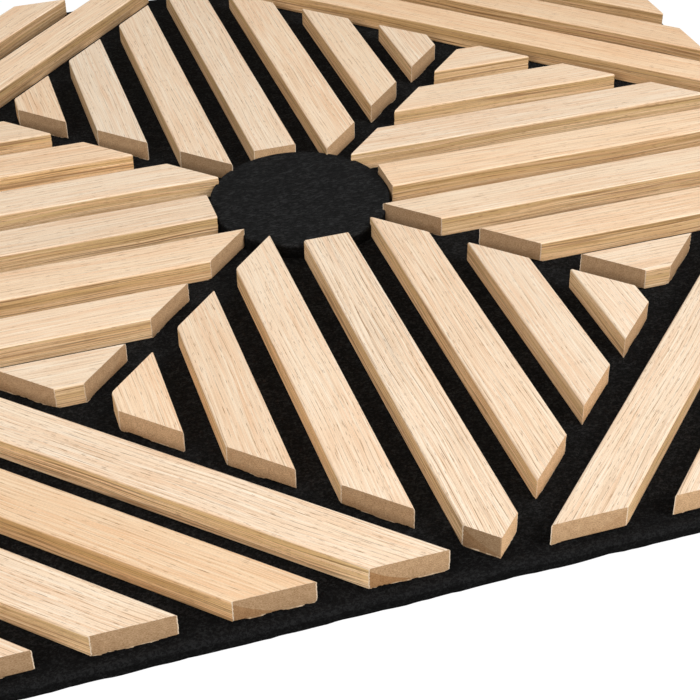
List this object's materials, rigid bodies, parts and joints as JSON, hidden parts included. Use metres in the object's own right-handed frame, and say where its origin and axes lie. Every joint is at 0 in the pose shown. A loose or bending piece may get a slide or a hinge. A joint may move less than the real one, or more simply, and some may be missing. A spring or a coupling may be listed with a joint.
{
  "type": "acoustic slat panel",
  "caption": "Square acoustic tile: mitred wood slats laid as a diamond of petals round a felt disc, with slanting slats filling the corners, on a dark felt backing sheet.",
  "frame": {"origin": "middle of the felt sheet's underside", "axes": "+Z out of the slatted face, X and Y along the sheet's edges, so the petals point along X and Y"},
  "size_m": [0.6, 0.6, 0.0185],
  "materials": {
    "felt": "matte felted fibre, near black",
    "slat": "pale oak veneer wrapped on fibreboard, bare fibreboard at the cut ends, low sheen"
  },
  "bodies": {
    "root": {"back_left_corner_slat_1": "slat", "back_left_corner_slat_2": "slat", "back_left_corner_slat_3": "slat", "back_left_corner_slat_4": "slat", "back_left_corner_slat_5": "slat", "back_petal_slat_left_1": "slat", "back_petal_slat_left_2": "slat", "back_petal_slat_left_3": "slat", "back_petal_slat_middle": "slat", "back_petal_slat_right_1": "slat", "back_petal_slat_right_2": "slat", "back_petal_slat_right_3": "slat", "back_right_corner_slat_1": "slat", "back_right_corner_slat_2": "slat", "back_right_corner_slat_3": "slat", "back_right_corner_slat_4": "slat", "back_right_corner_slat_5": "slat", "centre_disc": "felt", "felt_base": "felt", "front_left_corner_slat_1": "slat", "front_left_corner_slat_2": "slat", "front_left_corner_slat_3": "slat", "front_left_corner_slat_4": "slat", "front_left_corner_slat_5": "slat", "front_petal_slat_left_1": "slat", "front_petal_slat_left_2": "slat", "front_petal_slat_left_3": "slat", "front_petal_slat_middle": "slat", "front_petal_slat_right_1": "slat", "front_petal_slat_right_2": "slat", "front_petal_slat_right_3": "slat", "front_right_corner_slat_1": "slat", "front_right_corner_slat_2": "slat", "front_right_corner_slat_3": "slat", "front_right_corner_slat_4": "slat", "front_right_corner_slat_5": "slat", "left_petal_slat_left_1": "slat", "left_petal_slat_left_2": "slat", "left_petal_slat_left_3": "slat", "left_petal_slat_middle": "slat", "left_petal_slat_right_1": "slat", "left_petal_slat_right_2": "slat", "left_petal_slat_right_3": "slat", "right_petal_slat_left_1": "slat", "right_petal_slat_left_2": "slat", "right_petal_slat_left_3": "slat", "right_petal_slat_middle": "slat", "right_petal_slat_right_1": "slat", "right_petal_slat_right_2": "slat", "right_petal_slat_right_3": "slat"}
  },
  "joints": []
}
